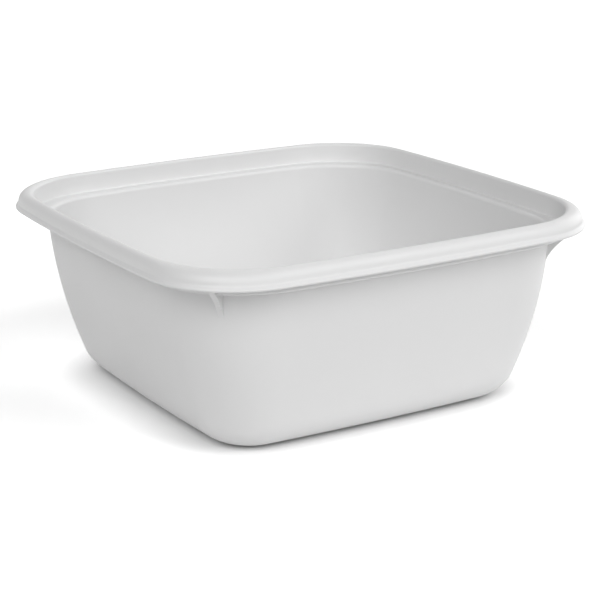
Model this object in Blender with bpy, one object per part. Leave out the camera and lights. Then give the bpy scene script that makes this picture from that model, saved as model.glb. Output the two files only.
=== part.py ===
# A square washing-up basin, moulded in one piece of polypropylene.
# The rim's crest falls outward over a shoulder into a skirt, which turns out in a cove to a bead.
# Inside the rim an upright collar drops to a flat ledge, and the walls taper from there to the base.
# A web with a hollow free edge braces the rim under each corner.
# Lengths are in metres. The basin stands on z = 0, centred on the z axis.

import math

import bmesh
import bpy

# Overall sizes, measured over the rim
basin_width = 0.320
basin_height = 0.1303
rim_corner_radius = 0.0614
rim_bow = 0.0024

# Rim: insets run inward from its widest line, depths run down from its crest
skirt_depth = 0.0112
skirt_thickness = 0.0016
bead_radius = 0.00115
flare_lean = math.radians(38)
flare_reach = 0.0018
cove_reach = 0.0016
shoulder_inset = 0.0020
shoulder_depth = 0.0047
crest_inset = 0.0048
roll_radius = 0.0048
roll_thickness = 0.0017

# Collar inside the rim and the ledge at its foot
collar_draft = 0.0006
ledge_depth = 0.0153
ledge_fillet = 0.0008

# Tapered wall: insets are those of its outside, in line with the ledge and run down to the floor
wall_thickness = 0.0018
wall_top_inset = 0.0167
wall_foot_inset = 0.0455
wall_swell = 0.0044
wall_top_corner = 0.0612
wall_foot_corner = 0.0390
wall_foot_bow = 0.0018
under_fillet = 0.0015
base_fillet = 0.0270

# Underside of the base, with the mark where the plastic was fed into the mould
standing_band = 0.0100
base_recess = 0.0005
recess_slope = 0.0010
gate_radius = 0.0040
gate_height = 0.0003

# Webs under the corners of the rim
web_thickness = 0.0040
web_depth = 0.0408
web_cove_depth = 0.0277
web_cove_share = 0.9

# How finely the curves are divided
side_steps = 6
corner_steps = 10
fillet_steps = 6
wall_steps = 6
roll_steps = 6
shoulder_steps = 6
cove_steps = 5
bead_steps = 5
small_steps = 3
web_steps = 8
gate_sides = 24
settle_rounds = 30

half_turn = math.pi
quarter_turn = math.pi / 2

rim_half = basin_width / 2
ledge_height = basin_height - ledge_depth
bead_depth = skirt_depth - bead_radius
collar_inset = crest_inset + roll_radius
collar_foot_inset = collar_inset + collar_draft


def clear_scene():
    for old in list(bpy.data.objects):
        bpy.data.objects.remove(old, do_unlink=True)


def steps_between(first, last, count):
    """Evenly spaced values from first to last, both included."""
    return [first + (last - first) * step / count for step in range(count + 1)]


# A level is one closed line round the basin: its half width, corner radius, bow and height.

def rim_level(inset, depth, inward=0):
    """A line of the rim's upper face, or one moved inward from it by a part of the thickness.

    The skirt's corners run parallel. From the crest inward the corners keep one radius.
    """
    rise_share = (inset - shoulder_inset) / (crest_inset - shoulder_inset)
    rise_share = min(max(rise_share, 0), 1)
    skirt_corner = rim_corner_radius - min(inset, shoulder_inset)
    corner = skirt_corner + (rim_corner_radius - skirt_corner) * rise_share
    return (rim_half - inset - inward, corner - inward, rim_bow, basin_height - depth)


def move_level(level, inset, rise):
    half, corner, bow, height = level
    return (half - inset, corner - inset, bow, height + rise)


def shrink_level(level, inset, rise):
    half, corner, bow, height = level
    size_share = (half - inset) / half
    return (half * size_share, corner * size_share, bow * size_share, height + rise)


def level_points(level):
    """Points of a square whose sides are shallow arcs that run tangent into its corner arcs."""
    half, corner, bow, height = level
    flat = half - corner
    side_radius = (flat ** 2 + bow ** 2) / (2 * bow)
    side_centre = half - side_radius
    corner_centre = (side_centre + math.sqrt(2 * (side_radius - corner) ** 2 - side_centre ** 2)) / 2
    swing = math.atan2(corner_centre, corner_centre - side_centre)
    line = []
    for angle in steps_between(-swing, swing, side_steps)[:-1]:
        line.append((side_centre + side_radius * math.cos(angle), side_radius * math.sin(angle)))
    for angle in steps_between(swing, quarter_turn - swing, corner_steps)[:-1]:
        x = corner_centre + corner * math.cos(angle)
        y = corner_centre + corner * math.sin(angle)
        line.append((x, y))
    points = []
    for _ in range(4):
        points.extend((x, y, height) for x, y in line)
        line = [(-y, x) for x, y in line]
    return points


def corner_reach(level):
    """Distance from the axis to the level along a diagonal of the basin."""
    x, y, _ = level_points(level)[side_steps + corner_steps // 2]
    return math.hypot(x, y)


# The tapered wall is a shallow arc in height that runs tangent into the round fillet of the base.

def wall_half(height):
    share = height / ledge_height
    foot = rim_half - wall_foot_inset
    top = rim_half - wall_top_inset
    return foot + (top - foot) * share + 4 * wall_swell * share * (1 - share)


def wall_lean(height):
    share = height / ledge_height
    spread = wall_foot_inset - wall_top_inset + 4 * wall_swell * (1 - 2 * share)
    return math.atan2(spread, ledge_height)


def fillet_top_height():
    height = base_fillet
    for _ in range(settle_rounds):
        height = base_fillet * (1 - math.sin(wall_lean(height)))
    return height


def wall_level(height, thickness):
    """The wall's outer line at a height, moved square to the wall by a thickness."""
    start = fillet_top_height()
    share = (height - start) / (ledge_height - start)
    corner = wall_foot_corner + (wall_top_corner - wall_foot_corner) * share
    bow = wall_foot_bow + (rim_bow - wall_foot_bow) * share
    lean = wall_lean(height)
    level = (wall_half(height), corner, bow, height)
    return move_level(level, thickness * math.cos(lean), thickness * math.sin(lean))


def wall_levels(top_height, thickness):
    """Levels from the flat of the base, round its fillet and up the wall."""
    start = fillet_top_height()
    lean = wall_lean(start)
    corner_line = wall_level(start, 0)
    radius = base_fillet - thickness
    levels = []
    for angle in steps_between(quarter_turn, lean, fillet_steps)[:-1]:
        inset = base_fillet * math.cos(lean) - radius * math.cos(angle)
        rise = base_fillet - radius * math.sin(angle) - start
        levels.append(move_level(corner_line, inset, rise))
    for height in steps_between(start, top_height, wall_steps):
        levels.append(wall_level(height, thickness))
    return levels


# Underside of the shell, from the middle of the base out to the foot of the skirt.

def underside_levels():
    outer_wall = wall_levels(ledge_height - wall_thickness - under_fillet, 0)
    base_edge = outer_wall[0]
    levels = [
        shrink_level(base_edge, standing_band + recess_slope, base_recess),
        shrink_level(base_edge, standing_band, 0),
    ]
    levels.extend(outer_wall)
    wall_end = outer_wall[-1]
    for angle in steps_between(0, quarter_turn, small_steps)[1:]:
        levels.append(move_level(wall_end, under_fillet * (math.cos(angle) - 1), under_fillet * math.sin(angle)))
    # The collar's outside turns about the same centre as the fillet at its foot.
    heel_radius = ledge_fillet + wall_thickness
    for angle in steps_between(quarter_turn, 0, small_steps):
        inset = collar_foot_inset + ledge_fillet * (1 - math.cos(angle))
        depth = ledge_depth - ledge_fillet + heel_radius * math.sin(angle)
        levels.append(rim_level(inset, depth, -wall_thickness * math.cos(angle)))
    roof_radius = roll_radius - roll_thickness
    for angle in steps_between(0, quarter_turn, roll_steps)[:-1]:
        inset = crest_inset + roll_radius * math.cos(angle)
        depth = roll_radius - roof_radius * math.sin(angle)
        levels.append(rim_level(inset, depth, -roll_thickness * math.cos(angle)))
    for angle in steps_between(0, quarter_turn, shoulder_steps):
        thickness = roll_thickness + (skirt_thickness - roll_thickness) * math.sin(angle)
        levels.append(shoulder_level(angle, thickness))
    levels.append(rim_level(shoulder_inset, shoulder_depth + cove_reach, skirt_thickness))
    return levels


def shoulder_level(angle, thickness):
    """The quarter ellipse from the crest down to the skirt, or the face a thickness below it."""
    across = crest_inset - shoulder_inset
    span = math.hypot(shoulder_depth * math.sin(angle), across * math.cos(angle))
    inset = crest_inset - across * math.sin(angle)
    depth = shoulder_depth * (1 - math.cos(angle)) + thickness * across * math.cos(angle) / span
    return rim_level(inset, depth, thickness * shoulder_depth * math.sin(angle) / span)


# Upper side, from the foot of the skirt over the roll and down to the floor of the basin.

def skirt_levels():
    levels = []
    round_foot = steps_between(-half_turn, 0, bead_steps)
    bead_top = steps_between(0, flare_lean, small_steps)[1:]
    for angle in round_foot + bead_top:
        inset = bead_radius * (1 - math.cos(angle))
        depth = bead_depth - bead_radius * math.sin(angle)
        levels.append(rim_level(inset, depth))
    # The cove starts in line with the top of the bead and ends upright at the shoulder.
    foot = (bead_radius * (1 - math.cos(flare_lean)), bead_depth - bead_radius * math.sin(flare_lean))
    foot_handle = (
        foot[0] + flare_reach * math.sin(flare_lean),
        foot[1] - flare_reach * math.cos(flare_lean),
    )
    top_handle = (shoulder_inset, shoulder_depth + cove_reach)
    top = (shoulder_inset, shoulder_depth)
    for t in steps_between(0, 1, cove_steps)[1:-1]:
        weights = ((1 - t) ** 3, 3 * t * (1 - t) ** 2, 3 * t ** 2 * (1 - t), t ** 3)
        places = (foot, foot_handle, top_handle, top)
        inset = sum(weight * place[0] for weight, place in zip(weights, places))
        depth = sum(weight * place[1] for weight, place in zip(weights, places))
        levels.append(rim_level(inset, depth))
    for angle in steps_between(quarter_turn, 0, shoulder_steps)[:-1]:
        levels.append(shoulder_level(angle, 0))
    return levels


def upper_levels():
    levels = []
    for angle in steps_between(0, quarter_turn, roll_steps):
        inset = crest_inset + roll_radius * math.sin(angle)
        depth = roll_radius * (1 - math.cos(angle))
        levels.append(rim_level(inset, depth))
    for angle in steps_between(0, quarter_turn, small_steps):
        inset = collar_foot_inset + ledge_fillet * (1 - math.cos(angle))
        depth = ledge_depth - ledge_fillet * (1 - math.sin(angle))
        levels.append(rim_level(inset, depth))
    inner_wall = wall_levels(ledge_height - ledge_fillet, wall_thickness)
    for angle in steps_between(quarter_turn, 0, small_steps)[:-1]:
        rise = ledge_fillet * math.sin(angle)
        levels.append(move_level(inner_wall[-1], ledge_fillet * (math.cos(angle) - 1), rise))
    levels.extend(reversed(inner_wall))
    return levels


def make_shell():
    """Loft through every level in turn, closed by the flat of the base and the floor above it."""
    levels = underside_levels() + skirt_levels() + upper_levels()
    mesh = bpy.data.meshes.new("basin_shell")
    loft = bmesh.new()
    rings = [[loft.verts.new(point) for point in level_points(level)] for level in levels]
    count = len(rings[0])
    for lower, upper in zip(rings, rings[1:]):
        for place in range(count):
            after = (place + 1) % count
            loft.faces.new((lower[place], lower[after], upper[after], upper[place]))
    loft.faces.new(reversed(rings[0]))
    loft.faces.new(rings[-1])
    loft.to_mesh(mesh)
    loft.free()
    shell = bpy.data.objects.new("basin_shell", mesh)
    product.objects.link(shell)
    return shell


# Webs: flat plates on the diagonals, whose back edges lie inside the shell that they brace.

def web_outline():
    """The free edge as a cove from the skirt to the wall, then back along the shell's middle."""
    marks = (
        rim_level(skirt_thickness, bead_depth - bead_radius),
        wall_level(basin_height - web_cove_depth, 0),
        wall_level(basin_height - web_depth, wall_thickness / 2),
    )
    start, cove, end = [(corner_reach(level), level[3]) for level in marks]
    outline = []
    for t in steps_between(0, 1, web_steps):
        cove_weight = 3 * t * (1 - t) * web_cove_share
        start_weight = (1 - t) ** 3 + 3 * t * (1 - t) ** 2 * (1 - web_cove_share)
        end_weight = t ** 3 + 3 * t ** 2 * (1 - t) * (1 - web_cove_share)
        x = start_weight * start[0] + cove_weight * cove[0] + end_weight * end[0]
        z = start_weight * start[1] + cove_weight * cove[1] + end_weight * end[1]
        outline.append((x, z))
    back = []
    for height in steps_between(basin_height - web_depth, ledge_height - wall_thickness / 2, small_steps)[1:]:
        back.append(wall_level(height, wall_thickness / 2))
    back.append(rim_level(collar_foot_inset, ledge_depth + wall_thickness / 2))
    back.append(rim_level(collar_foot_inset, ledge_depth - ledge_fillet, -wall_thickness / 2))
    middle_radius = roll_radius - roll_thickness / 2
    for angle in steps_between(0, quarter_turn, roll_steps):
        inset = crest_inset + roll_radius * math.cos(angle)
        depth = roll_radius - middle_radius * math.sin(angle)
        back.append(rim_level(inset, depth, -roll_thickness / 2 * math.cos(angle)))
    for angle in steps_between(0, quarter_turn, small_steps)[1:]:
        back.append(shoulder_level(angle, skirt_thickness / 2))
    back.append(rim_level(shoulder_inset, shoulder_depth + cove_reach, skirt_thickness / 2))
    outline.extend((corner_reach(level), level[3]) for level in back)
    return outline


def make_web_mesh():
    outline = web_outline()
    curve = bpy.data.curves.new("web_outline", "CURVE")
    curve.dimensions = "2D"
    curve.fill_mode = "BOTH"
    curve.extrude = web_thickness / 2
    spline = curve.splines.new("POLY")
    spline.points.add(len(outline) - 1)
    for point, (x, z) in zip(spline.points, outline):
        point.co = (x, z, 0, 1)
    spline.use_cyclic_u = True
    guide = bpy.data.objects.new("web_outline", curve)
    cutters.objects.link(guide)
    bpy.context.view_layer.update()
    evaluated = guide.evaluated_get(bpy.context.evaluated_depsgraph_get())
    mesh = bpy.data.meshes.new_from_object(evaluated)
    bpy.data.objects.remove(guide, do_unlink=True)
    sheet = bmesh.new()
    sheet.from_mesh(mesh)
    bmesh.ops.remove_doubles(sheet, verts=sheet.verts, dist=web_thickness / 100)
    bmesh.ops.recalc_face_normals(sheet, faces=sheet.faces)
    sheet.to_mesh(mesh)
    sheet.free()
    return mesh


def join_to(shell, tool, name):
    union = shell.modifiers.new(name, "BOOLEAN")
    union.operation = "UNION"
    union.solver = "EXACT"
    union.object = tool
    tool.hide_render = True
    tool.display_type = "WIRE"


def add_webs(shell):
    mesh = make_web_mesh()
    for corner in range(4):
        web = bpy.data.objects.new("web_%d" % corner, mesh)
        web.rotation_euler = (quarter_turn, 0, quarter_turn * (corner + 0.5))
        cutters.objects.link(web)
        join_to(shell, web, web.name)


def add_gate_mark(shell):
    embedded = (wall_thickness - base_recess) / 2
    bpy.ops.mesh.primitive_cylinder_add(
        vertices=gate_sides,
        radius=gate_radius,
        depth=gate_height + embedded,
        location=(0, 0, base_recess + (embedded - gate_height) / 2),
    )
    mark = bpy.context.object
    mark.name = "gate_mark"
    for holder in list(mark.users_collection):
        holder.objects.unlink(mark)
    cutters.objects.link(mark)
    join_to(shell, mark, "gate_mark")


def white_plastic():
    """Unpigmented-looking white polypropylene with a satin moulded surface."""
    material = bpy.data.materials.new("satin white polypropylene")
    material.use_nodes = True
    shader = material.node_tree.nodes["Principled BSDF"]
    shader.inputs["Base Color"].default_value = (0.76, 0.76, 0.75, 1)
    shader.inputs["Roughness"].default_value = 0.35
    shader.inputs["Metallic"].default_value = 0
    shader.inputs["IOR"].default_value = 1.49
    return material


clear_scene()
product = bpy.data.collections.new("plastic basin")
cutters = bpy.data.collections.new("cutters")
bpy.context.scene.collection.children.link(product)
bpy.context.scene.collection.children.link(cutters)

basin = make_shell()
add_webs(basin)
add_gate_mark(basin)
basin.data.materials.append(white_plastic())
basin.data.shade_smooth()
basin.data.set_sharp_from_angle(angle=math.radians(40))
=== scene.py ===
# A white washing-up basin on a white studio floor.
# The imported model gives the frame. The basin is modelled again here with a finer skin and a
# slightly different rim, in the same place and the same box, and gets its satin plastic.

import math
import bmesh
import bpy
from mathutils import Matrix


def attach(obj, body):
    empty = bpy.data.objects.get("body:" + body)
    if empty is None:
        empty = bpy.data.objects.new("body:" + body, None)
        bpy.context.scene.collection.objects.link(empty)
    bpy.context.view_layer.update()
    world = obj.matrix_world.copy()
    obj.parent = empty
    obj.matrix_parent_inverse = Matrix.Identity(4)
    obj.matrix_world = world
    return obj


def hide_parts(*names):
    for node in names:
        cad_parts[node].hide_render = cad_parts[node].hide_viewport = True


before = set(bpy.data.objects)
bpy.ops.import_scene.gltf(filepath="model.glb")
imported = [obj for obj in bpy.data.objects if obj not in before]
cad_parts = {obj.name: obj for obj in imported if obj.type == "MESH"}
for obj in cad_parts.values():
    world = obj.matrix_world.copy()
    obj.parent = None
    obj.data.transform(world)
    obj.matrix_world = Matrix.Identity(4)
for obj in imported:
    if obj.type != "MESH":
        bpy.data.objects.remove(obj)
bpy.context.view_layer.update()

print("frame loaded")


def deselectAll():
    if bpy.context.object and bpy.context.object.mode != "OBJECT":
        bpy.ops.object.mode_set(mode="OBJECT")
    bpy.ops.object.select_all(action="DESELECT")


def makeActive(piece):
    deselectAll()
    piece.select_set(True)
    bpy.context.view_layer.objects.active = piece


def evenSteps(first, last, count):
    return [first + (last - first) * step / count for step in range(count + 1)]


def linearFromHex(code):
    # sRGB hex to the linear values that a shader works in
    channels = [int(code[place:place + 2], 16) / 255 for place in (0, 2, 4)]
    linear = [c / 12.92 if c <= 0.04045 else ((c + 0.055) / 1.055) ** 2.4 for c in channels]
    return (*linear, 1.0)


def addNode(tree, kind, values=None, links=None, **settings):
    node = tree.nodes.new(kind)
    for name, value in settings.items():
        setattr(node, name, value)
    for socket, value in (values or {}).items():
        node.inputs[socket].default_value = value
    for socket, source in (links or {}).items():
        tree.links.new(source, node.inputs[socket])
    return node


# the basin's skin

basin = {
    "width": 0.320,  # over the rim
    "height": 0.1303,
    "rimCorner": 0.0614,
    "rimBow": 0.0024,
    "skirtDepth": 0.0115,  # depths are below the crest, insets are in from the widest line
    "skirtThickness": 0.0016,
    "beadRadius": 0.00115,
    "flareLean": math.radians(38),  # the skirt turns out in a cove that ends on the bead
    "flareReach": 0.0018,
    "coveReach": 0.0016,
    "shoulderInset": 0.0020,
    "shoulderDepth": 0.0068,
    "crestInset": 0.0074,
    "rollRadius": 0.0022,
    "rollThickness": 0.0017,
    "collarDraft": 0.0006,
    "ledgeDepth": 0.0153,  # a wall's thickness above the ledge's underside
    "ledgeTopDepth": 0.0142,  # the ledge's upper face
    "ledgeFillet": 0.0008,
    "ledgeNose": 0.0030,  # radius of the edge between the ledge and the wall
    "wallThickness": 0.0018,
    "wallTopInset": 0.0167,
    "wallFootInset": 0.0455,
    "wallSwell": 0.0044,  # how far the walls bulge at half height
    "wallTopCorner": 0.0612,
    "wallFootCorner": 0.0390,
    "wallFootBow": 0.0018,
    "underFillet": 0.0015,
    "baseFillet": 0.0270,
    "standingBand": 0.0100,
    "baseRecess": 0.0005,
    "recessSlope": 0.0010,
    "sideSteps": 20,  # the skin's fineness, round the basin and then along its section
    "cornerSteps": 28,
    "wallSteps": 22,
    "filletSteps": 14,
    "rollSteps": 14,
    "beadSteps": 10,
    "smallSteps": 6,
    "settleRounds": 30,
}

rimHalf = basin["width"] / 2
ledgeHeight = basin["height"] - basin["ledgeDepth"]  # the walls' taper is counted up to here
collarFoot = basin["crestInset"] + basin["rollRadius"] + basin["collarDraft"]
skirtTop = basin["shoulderDepth"] + basin["coveReach"]
beadDepth = basin["skirtDepth"] - basin["beadRadius"]
quarterTurn = math.pi / 2
smoothAngle = math.radians(35)  # edges sharper than this stay crisp


def rimRing(inset, depth, inward=0):
    # a ring is its half width, corner radius, bow and height
    # from the crest inwards the corners keep one radius, so the rim is wider there
    shoulder = basin["shoulderInset"]
    share = min(max((inset - shoulder) / (basin["crestInset"] - shoulder), 0), 1)
    flank = basin["rimCorner"] - min(inset, shoulder)
    corner = flank + (basin["rimCorner"] - flank) * share
    return (rimHalf - inset - inward, corner - inward, basin["rimBow"], basin["height"] - depth)


def movedRing(ring, inset, rise):
    half, corner, bow, height = ring
    return (half - inset, corner - inset, bow, height + rise)


def shrunkRing(ring, inset, rise):
    half, corner, bow, height = ring
    share = (half - inset) / half
    return (half * share, corner * share, bow * share, height + rise)


def ringPoints(ring):
    # bowed sides that run tangent into round corners
    half, corner, bow, height = ring
    sideRadius = ((half - corner) ** 2 + bow ** 2) / (2 * bow)
    sideCentre = half - sideRadius
    cornerCentre = (sideCentre + math.sqrt(2 * (sideRadius - corner) ** 2 - sideCentre ** 2)) / 2
    swing = math.atan2(cornerCentre, cornerCentre - sideCentre)
    line = []
    for angle in evenSteps(-swing, swing, basin["sideSteps"])[:-1]:
        line.append((sideCentre + sideRadius * math.cos(angle), sideRadius * math.sin(angle)))
    for angle in evenSteps(swing, quarterTurn - swing, basin["cornerSteps"])[:-1]:
        x, y = cornerCentre + corner * math.cos(angle), cornerCentre + corner * math.sin(angle)
        line.append((x, y))
    points = []
    for side in range(4):
        points += [(x, y, height) for x, y in line]
        line = [(-y, x) for x, y in line]
    return points


def cornerPlace(ring):
    # where the ring passes the corner's diagonal: its distance from the middle, and its height
    x, y, height = ringPoints(ring)[basin["sideSteps"] + basin["cornerSteps"] // 2]
    return (math.hypot(x, y), height)


def wallLean(height):
    share = height / ledgeHeight
    taper = basin["wallFootInset"] - basin["wallTopInset"]
    spread = taper + 4 * basin["wallSwell"] * (1 - 2 * share)
    return math.atan2(spread, ledgeHeight)


# the fillet ends where it meets the leaning wall, and the lean depends on that height
filletTop = basin["baseFillet"]
for settle in range(basin["settleRounds"]):
    filletTop = basin["baseFillet"] * (1 - math.sin(wallLean(filletTop)))


def wallRing(height, thickness):
    share = height / ledgeHeight
    foot = rimHalf - basin["wallFootInset"]
    top = rimHalf - basin["wallTopInset"]
    half = foot + (top - foot) * share + 4 * basin["wallSwell"] * share * (1 - share)
    rise = (height - filletTop) / (ledgeHeight - filletTop)
    corner = basin["wallFootCorner"] + (basin["wallTopCorner"] - basin["wallFootCorner"]) * rise
    bow = basin["wallFootBow"] + (basin["rimBow"] - basin["wallFootBow"]) * rise
    lean = wallLean(height)
    ring = (half, corner, bow, height)
    return movedRing(ring, thickness * math.cos(lean), thickness * math.sin(lean))


def wallRings(topHeight, thickness):
    lean = wallLean(filletTop)
    start = wallRing(filletTop, 0)
    radius = basin["baseFillet"] - thickness
    rings = []
    for angle in evenSteps(quarterTurn, lean, basin["filletSteps"])[:-1]:
        inset = basin["baseFillet"] * math.cos(lean) - radius * math.cos(angle)
        rise = basin["baseFillet"] - radius * math.sin(angle) - filletTop
        rings.append(movedRing(start, inset, rise))
    for height in evenSteps(filletTop, topHeight, basin["wallSteps"]):
        rings.append(wallRing(height, thickness))
    return rings


def smoothCurve(start, startHandle, endHandle, end, count):
    # a Bezier curve between two rings or two points, as a list of what lies on it
    places = []
    for t in evenSteps(0, 1, count):
        weights = ((1 - t) ** 3, 3 * t * (1 - t) ** 2, 3 * t ** 2 * (1 - t), t ** 3)
        parts = zip(start, startHandle, endHandle, end)
        places.append(tuple(sum(w * value for w, value in zip(weights, part)) for part in parts))
    return places


def shoulderRing(angle, thickness):
    # a quarter of an ellipse from the crest down to the skirt, or the face a thickness below it
    across = basin["crestInset"] - basin["shoulderInset"]
    down = basin["shoulderDepth"]
    span = math.hypot(down * math.sin(angle), across * math.cos(angle))
    inset = basin["crestInset"] - across * math.sin(angle)
    depth = down * (1 - math.cos(angle)) + thickness * across * math.cos(angle) / span
    return rimRing(inset, depth, thickness * down * math.sin(angle) / span)


def basinRings():
    b = basin
    outerWall = wallRings(ledgeHeight - b["wallThickness"] - b["underFillet"], 0)
    rings = [
        shrunkRing(outerWall[0], b["standingBand"] + b["recessSlope"], b["baseRecess"]),
        shrunkRing(outerWall[0], b["standingBand"], 0),
    ]
    rings += outerWall
    for angle in evenSteps(0, quarterTurn, b["smallSteps"])[1:]:
        inset = b["underFillet"] * (math.cos(angle) - 1)
        rings.append(movedRing(outerWall[-1], inset, b["underFillet"] * math.sin(angle)))

    # up the back of the collar, under the roll and the shoulder, and down inside the skirt
    heelRadius = b["ledgeFillet"] + b["wallThickness"]
    for angle in evenSteps(quarterTurn, 0, b["smallSteps"]):
        inset = collarFoot + b["ledgeFillet"] * (1 - math.cos(angle))
        depth = b["ledgeDepth"] - b["ledgeFillet"] + heelRadius * math.sin(angle)
        rings.append(rimRing(inset, depth, -b["wallThickness"] * math.cos(angle)))
    roofRadius = b["rollRadius"] - b["rollThickness"]
    for angle in evenSteps(0, quarterTurn, b["rollSteps"])[:-1]:
        inset = b["crestInset"] + b["rollRadius"] * math.cos(angle)
        depth = b["rollRadius"] - roofRadius * math.sin(angle)
        rings.append(rimRing(inset, depth, -b["rollThickness"] * math.cos(angle)))
    for angle in evenSteps(0, quarterTurn, b["rollSteps"]):
        share = math.sin(angle)
        thickness = b["rollThickness"] + (b["skirtThickness"] - b["rollThickness"]) * share
        rings.append(shoulderRing(angle, thickness))
    rings.append(rimRing(b["shoulderInset"], skirtTop, b["skirtThickness"]))

    # round the bead, out along the cove and over the shoulder and the roll
    angles = evenSteps(-math.pi, 0, b["beadSteps"])
    angles += evenSteps(0, b["flareLean"], b["smallSteps"])[1:]
    for angle in angles:
        inset = b["beadRadius"] * (1 - math.cos(angle))
        rings.append(rimRing(inset, beadDepth - b["beadRadius"] * math.sin(angle)))
    flareInset = b["beadRadius"] * (1 - math.cos(b["flareLean"]))
    flareDepth = beadDepth - b["beadRadius"] * math.sin(b["flareLean"])
    across = b["flareReach"] * math.sin(b["flareLean"])
    up = b["flareReach"] * math.cos(b["flareLean"])
    flareHandle = rimRing(flareInset + across, flareDepth - up)
    coveHandle = rimRing(b["shoulderInset"], skirtTop)
    coveTop = rimRing(b["shoulderInset"], b["shoulderDepth"])
    rings += smoothCurve(rings[-1], flareHandle, coveHandle, coveTop, b["rollSteps"])[1:]
    for angle in evenSteps(quarterTurn, 0, b["rollSteps"])[1:]:
        rings.append(shoulderRing(angle, 0))
    for angle in evenSteps(0, quarterTurn, b["rollSteps"])[1:]:
        inset = b["crestInset"] + b["rollRadius"] * math.sin(angle)
        rings.append(rimRing(inset, b["rollRadius"] * (1 - math.cos(angle))))

    innerWall = wallRings(b["height"] - b["ledgeTopDepth"] - b["ledgeNose"], b["wallThickness"])
    for angle in evenSteps(0, quarterTurn, b["smallSteps"]):
        inset = collarFoot + b["ledgeFillet"] * (1 - math.cos(angle))
        rings.append(rimRing(inset, b["ledgeTopDepth"] - b["ledgeFillet"] * (1 - math.sin(angle))))
    for angle in evenSteps(quarterTurn, 0, b["rollSteps"])[:-1]:
        inset = b["ledgeNose"] * (math.cos(angle) - 1)
        rings.append(movedRing(innerWall[-1], inset, b["ledgeNose"] * math.sin(angle)))
    rings += reversed(innerWall)
    return rings


def drawSkin(name, rings):
    # one ring of edges is extruded again and again, and each new ring is drawn out to
    # its own outline
    deselectAll()
    outline = ringPoints(rings[0])
    bpy.ops.mesh.primitive_circle_add(vertices=len(outline), radius=rimHalf, fill_type="NGON")
    piece = bpy.context.object
    piece.name = name
    bpy.ops.object.mode_set(mode="EDIT")
    work = bmesh.from_edit_mesh(piece.data)
    place = work.verts.layers.int.new("place")
    for vertex in work.verts:
        vertex[place] = vertex.index
    bpy.ops.mesh.select_all(action="SELECT")
    for ring in rings:
        if ring is not rings[0]:
            bpy.ops.mesh.extrude_region_move()
        work = bmesh.from_edit_mesh(piece.data)
        place = work.verts.layers.int["place"]
        outline = ringPoints(ring)
        for vertex in work.verts:
            if vertex.select:
                vertex.co = outline[vertex[place]]
    bmesh.update_edit_mesh(piece.data)
    return piece


print("drawing the skin")
rings = basinRings()
basinShell = drawSkin("basinShell", rings)
bpy.ops.mesh.select_all(action="SELECT")
bpy.ops.mesh.normals_make_consistent(inside=False)
bpy.ops.object.mode_set(mode="OBJECT")
work = bmesh.new()
work.from_mesh(basinShell.data)
print("skin: rings", len(rings), "faces", len(work.faces), "volume", work.calc_volume(signed=True),
      "open edges", sum(1 for e in work.edges if not e.is_manifold))
work.free()
makeActive(basinShell)
bpy.ops.object.shade_smooth_by_angle(angle=smoothAngle)
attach(basinShell, "root")
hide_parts("basin_shell")


# the webs that brace the rim under its corners

webs = {
    "thickness": 0.0037,
    "depth": 0.0408,  # below the crest, where the free edge runs out on the wall
    "coveDepth": 0.0277,  # where the free edge's cove has its corner, on the wall
    "coveShare": 0.82,  # how near the free edge comes to that corner
    "edgeSteps": 24,
    "wallSteps": 4,
    "edgeRounding": 0.0010,
    "roundingSegments": 3,
    "roundedFrom": math.radians(60),  # only edges that turn more than this are rounded
}


def webOutline():
    b = basin
    middle = b["wallThickness"] / 2
    webFoot = b["height"] - webs["depth"]

    # the free edge, a cove from the skirt's foot to the wall
    start = cornerPlace(rimRing(b["skirtThickness"], beadDepth - b["beadRadius"]))
    cove = cornerPlace(wallRing(b["height"] - webs["coveDepth"], 0))
    end = cornerPlace(wallRing(webFoot, middle))
    share = webs["coveShare"]
    startHandle = [place + (corner - place) * share for place, corner in zip(start, cove)]
    endHandle = [place + (corner - place) * share for place, corner in zip(end, cove)]
    outline = smoothCurve(start, startHandle, endHandle, end, webs["edgeSteps"])

    # back along the middle of the basin's skin, up the wall and under the rim
    heights = evenSteps(webFoot, ledgeHeight - middle, webs["wallSteps"])[1:]
    back = [wallRing(height, middle) for height in heights]
    back.append(rimRing(collarFoot, b["ledgeDepth"] + middle))
    back.append(rimRing(collarFoot, b["ledgeDepth"] - b["ledgeFillet"], -middle))
    roofMiddle = b["rollRadius"] - b["rollThickness"] / 2
    for angle in evenSteps(0, quarterTurn, b["rollSteps"]):
        inset = b["crestInset"] + b["rollRadius"] * math.cos(angle)
        depth = b["rollRadius"] - roofMiddle * math.sin(angle)
        back.append(rimRing(inset, depth, -b["rollThickness"] / 2 * math.cos(angle)))
    for angle in evenSteps(0, quarterTurn, b["smallSteps"])[1:]:
        back.append(shoulderRing(angle, b["skirtThickness"] / 2))
    back.append(rimRing(b["shoulderInset"], skirtTop, b["skirtThickness"] / 2))
    return outline + [cornerPlace(ring) for ring in back]


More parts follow.
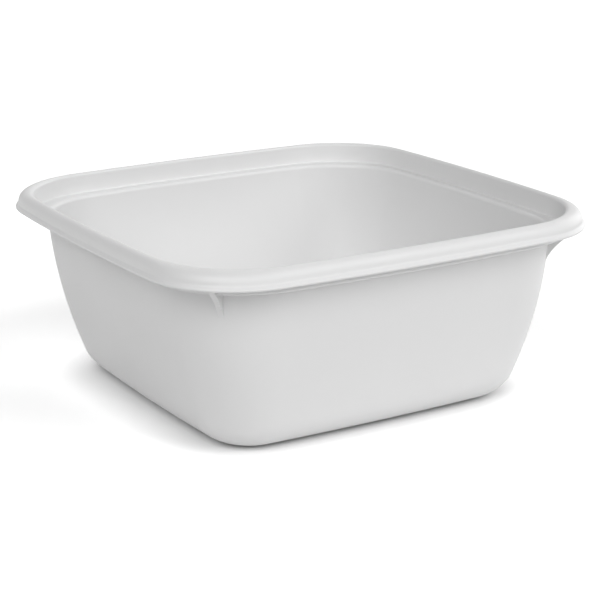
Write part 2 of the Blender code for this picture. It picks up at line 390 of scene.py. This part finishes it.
def makeWeb(name, angle):
    # a circle's points are moved onto the web's outline, and the face is extruded to its thickness
    deselectAll()
    outline = webOutline()
    bpy.ops.mesh.primitive_circle_add(vertices=len(outline), radius=webs["depth"], fill_type="NGON")
    piece = bpy.context.object
    piece.name = name
    for vertex, (reach, height) in zip(piece.data.vertices, outline):
        vertex.co = (reach, -webs["thickness"] / 2, height)
    bpy.ops.object.mode_set(mode="EDIT")
    bpy.ops.mesh.select_all(action="SELECT")
    bpy.ops.mesh.extrude_region_move(TRANSFORM_OT_translate={"value": (0, webs["thickness"], 0)})
    bpy.ops.mesh.select_all(action="SELECT")
    bpy.ops.mesh.normals_make_consistent(inside=False)
    bpy.ops.object.mode_set(mode="OBJECT")
    rounding = piece.modifiers.new("edges", "BEVEL")
    rounding.width = webs["edgeRounding"]
    rounding.segments = webs["roundingSegments"]
    rounding.limit_method = "ANGLE"
    rounding.angle_limit = webs["roundedFrom"]
    bpy.ops.object.modifier_apply(modifier="edges")
    piece.rotation_euler.z = angle
    bpy.ops.object.transform_apply(location=True, rotation=True, scale=True)
    bpy.ops.object.shade_smooth_by_angle(angle=smoothAngle)
    return piece


print("making the webs")
cornerWebs = [
    makeWeb("cornerWeb%d" % (corner + 1), quarterTurn * (corner + 0.5))
    for corner in range(4)
]
deselectAll()
for web in cornerWebs:
    web.select_set(True)
bpy.context.view_layer.objects.active = cornerWebs[0]
bpy.ops.object.join()
cornerWeb = bpy.context.object
cornerWeb.name = "cornerWebs"
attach(cornerWeb, "root")
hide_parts("basin_shell")


# the small mark under the base where the plastic is fed into the mould

feedMark = {
    "radius": 0.0040,
    "height": 0.0003,
    "rootDepth": 0.0005,  # how far it runs up into the base
    "sides": 48,
}


def makeFeedMark():
    deselectAll()
    tall = feedMark["height"] + feedMark["rootDepth"]
    foot = basin["baseRecess"] - feedMark["height"]
    bpy.ops.mesh.primitive_cylinder_add(
        vertices=feedMark["sides"], radius=feedMark["radius"], depth=tall,
        location=(0, 0, foot + tall / 2),
    )
    piece = bpy.context.object
    piece.name = "feedMark"
    bpy.ops.object.transform_apply(location=True, rotation=True, scale=True)
    bpy.ops.object.shade_smooth_by_angle(angle=smoothAngle)
    return piece


print("making the feed mark")
mark = makeFeedMark()
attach(mark, "root")
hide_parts("basin_shell")


# what the basin is made of

plastic = {
    "colour": "E6E6E6",
    "roughness": 0.44,
    "roughnessVariation": 0.05,
    "ior": 1.49,  # polypropylene
    "grainSize": 0.0009,  # the mould's fine texture, drawn coarser than it is so that it shows
    "grainDepth": 0.000006,
    "wavySize": 0.045,  # slow waviness of a thin moulded wall
    "wavyDepth": 0.00006,
    "grainNoise": {"Detail": 2.0, "Roughness": 0.5},
    "wavyNoise": {"Detail": 1.0, "Roughness": 0.4},
    "wavyRange": (0.3, 0.7),  # the part of the noise's range that its values fill
}


def satinPolypropylene():
    # injection moulded polypropylene with a satin mould texture: soft broad highlights and
    # slightly wavy reflections
    p = plastic
    material = bpy.data.materials.new("satinMouldedPolypropylene")
    material.use_nodes = True
    tree = material.node_tree
    tree.nodes.clear()
    place = addNode(tree, "ShaderNodeTexCoord")
    fineGrain = addNode(
        tree, "ShaderNodeTexNoise",
        {"Scale": 1 / p["grainSize"], **p["grainNoise"]},
        {"Vector": place.outputs["Object"]},
    )
    slowWave = addNode(
        tree, "ShaderNodeTexNoise",
        {"Scale": 1 / p["wavySize"], **p["wavyNoise"]},
        {"Vector": place.outputs["Object"]},
    )
    wavyBump = addNode(
        tree, "ShaderNodeBump",
        {"Strength": 1.0, "Distance": p["wavyDepth"]},
        {"Height": slowWave.outputs["Fac"]},
    )
    grainBump = addNode(
        tree, "ShaderNodeBump",
        {"Strength": 1.0, "Distance": p["grainDepth"]},
        {"Height": fineGrain.outputs["Fac"], "Normal": wavyBump.outputs["Normal"]},
    )
    sheenPatches = addNode(
        tree, "ShaderNodeMapRange",
        {
            "From Min": p["wavyRange"][0], "From Max": p["wavyRange"][1],
            "To Min": p["roughness"] - p["roughnessVariation"],
            "To Max": p["roughness"] + p["roughnessVariation"],
        },
        {"Value": slowWave.outputs["Fac"]},
    )
    shader = addNode(
        tree, "ShaderNodeBsdfPrincipled",
        {
            "Base Color": linearFromHex(p["colour"]),
            "Metallic": 0.0,
            "IOR": p["ior"],
        },
        {"Roughness": sheenPatches.outputs["Result"], "Normal": grainBump.outputs["Normal"]},
    )
    addNode(tree, "ShaderNodeOutputMaterial", links={"Surface": shader.outputs["BSDF"]})
    return material


print("mixing the plastic")
plasticMaterial = satinPolypropylene()
for piece in (basinShell, cornerWeb, mark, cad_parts["basin_shell"]):
    piece.data.materials.clear()
    piece.data.materials.append(plasticMaterial)


# a pale floor, soft lights and the photograph's camera

studio = {
    "floorColour": "F0F0F0",
    "floorHalf": 6.0,
    "backdropGain": 1.96,  # how much lighter the camera sees the floor, which turns it white
    "paintedShadowReach": 0.028,  # painted contact shadow: the floor's seen colour is darkened where the basin stands this near over it
    "paintedShadowShare": 0.6,  # how much of that painted shadow is used
    "paintedShadowSamples": 16,
    "airStrength": 0.02,
    "lampWidth": 40,  # degrees of the sky that each softbox fills
    "lamps": {
        # degrees round from the front, degrees up, strength
        "keySoftbox": (33, 31, 1.33),
        "frontSoftbox": (-31, 32, 0.55),
        "fillSoftbox": (-62, 41, 1.17),
        "sideSoftbox": (104, 15, 0.85),
        "backSoftbox": (149, 45, 0.40),
    },
}

camera = {
    "azimuth": math.radians(-30.68),
    "elevation": math.radians(16.576),
    "roll": math.radians(-0.557),
    "distance": 1.20056,
    "right": 0.0042557,  # metres across the camera's own view
    "up": -0.0077136,
    "focalPixels": 1739.9,
    "picturePixels": 600,
    "sensorWidth": 36.0,  # millimetres
    "farthest": 50,  # metres
    "aimHeight": 0.0651,
}


def backdropRays(tree):
    # the rays that see the backdrop as white: the camera's, and those by way of gloss or glass
    path = addNode(tree, "ShaderNodeLightPath")
    shiny = addNode(
        tree, "ShaderNodeMath",
        links={0: path.outputs["Is Glossy Ray"], 1: path.outputs["Is Transmission Ray"]},
        operation="MAXIMUM",
    )
    seen = addNode(
        tree, "ShaderNodeMath",
        links={0: path.outputs["Is Camera Ray"], 1: shiny.outputs["Value"]},
        operation="MAXIMUM",
    )
    return seen.outputs["Value"]


def makeFloor():
    deselectAll()
    bpy.ops.mesh.primitive_plane_add(size=2 * studio["floorHalf"], location=(0, 0, 0))
    floor = bpy.context.object
    floor.name = "studioFloor"
    material = bpy.data.materials.new("matteWhitePaper")
    material.use_nodes = True
    tree = material.node_tree
    tree.nodes.clear()
    base = linearFromHex(studio["floorColour"])
    seen = tuple(channel * studio["backdropGain"] for channel in base[:3]) + (1.0,)
    # painted contact shadow: ambient occlusion darkens the floor colour that camera and gloss rays
    # see near the basin, on top of the lamps' real shadows
    paintedContactShadow = addNode(
        tree, "ShaderNodeAmbientOcclusion",
        {"Color": seen, "Distance": studio["paintedShadowReach"]},
        samples=studio["paintedShadowSamples"],
    )
    # sockets 6 and 7 are the two colours, and output 2 their mix
    seenWithPaintedShadow = addNode(
        tree, "ShaderNodeMix",
        {"Factor": studio["paintedShadowShare"], 6: seen}, {7: paintedContactShadow.outputs["Color"]},
        data_type="RGBA",
    )
    plain = addNode(tree, "ShaderNodeBsdfDiffuse", {"Color": base})
    bright = addNode(tree, "ShaderNodeBsdfDiffuse", links={"Color": seenWithPaintedShadow.outputs[2]})
    choice = addNode(
        tree, "ShaderNodeMixShader",
        links={0: backdropRays(tree), 1: plain.outputs["BSDF"], 2: bright.outputs["BSDF"]},
    )
    addNode(tree, "ShaderNodeOutputMaterial", links={"Surface": choice.outputs["Shader"]})
    floor.data.materials.append(material)


def makeWorld():
    world = bpy.data.worlds.new("studioAir")
    bpy.context.scene.world = world
    world.use_nodes = True
    tree = world.node_tree
    tree.nodes.clear()
    level = addNode(
        tree, "ShaderNodeMapRange",
        {"From Min": 0.0, "From Max": 1.0, "To Min": studio["airStrength"], "To Max": 1.0},
        {"Value": backdropRays(tree)},
    )
    glow = addNode(
        tree, "ShaderNodeBackground",
        {"Color": (1.0, 1.0, 1.0, 1.0)},
        {"Strength": level.outputs["Result"]},
    )
    addNode(tree, "ShaderNodeOutputWorld", links={"Surface": glow.outputs["Background"]})


def aimedFrom(turn, lift):
    # the way of something that looks in from so far round from the front and so far up
    return Matrix.Rotation(turn, 4, "Z") @ Matrix.Rotation(quarterTurn - lift, 4, "X")


def makeLamps():
    # far softboxes: wide suns light the floor and the basin evenly
    for name, (turn, lift, strength) in studio["lamps"].items():
        lamp = bpy.data.lights.new(name, "SUN")
        lamp.energy = strength
        lamp.angle = math.radians(studio["lampWidth"])
        holder = bpy.data.objects.new(name, lamp)
        bpy.context.scene.collection.objects.link(holder)
        holder.matrix_world = aimedFrom(math.radians(turn), math.radians(lift))


def makeCamera():
    c = camera
    lens = bpy.data.cameras.new("photoCamera")
    lens.sensor_width = c["sensorWidth"]
    lens.lens = c["focalPixels"] / c["picturePixels"] * c["sensorWidth"]
    lens.clip_end = c["farthest"]
    holder = bpy.data.objects.new("photoCamera", lens)
    bpy.context.scene.collection.objects.link(holder)
    offset = Matrix.Translation((c["right"], c["up"], c["distance"]))
    offset = aimedFrom(c["azimuth"], c["elevation"]) @ offset
    holder.matrix_world = (
        Matrix.Translation((0, 0, c["aimHeight"])) @ offset @ Matrix.Rotation(c["roll"], 4, "Z")
    )
    bpy.context.scene.camera = holder


print("setting up the studio")
makeFloor()
makeWorld()
makeLamps()
makeCamera()
bpy.context.scene.view_settings.view_transform = "Standard"
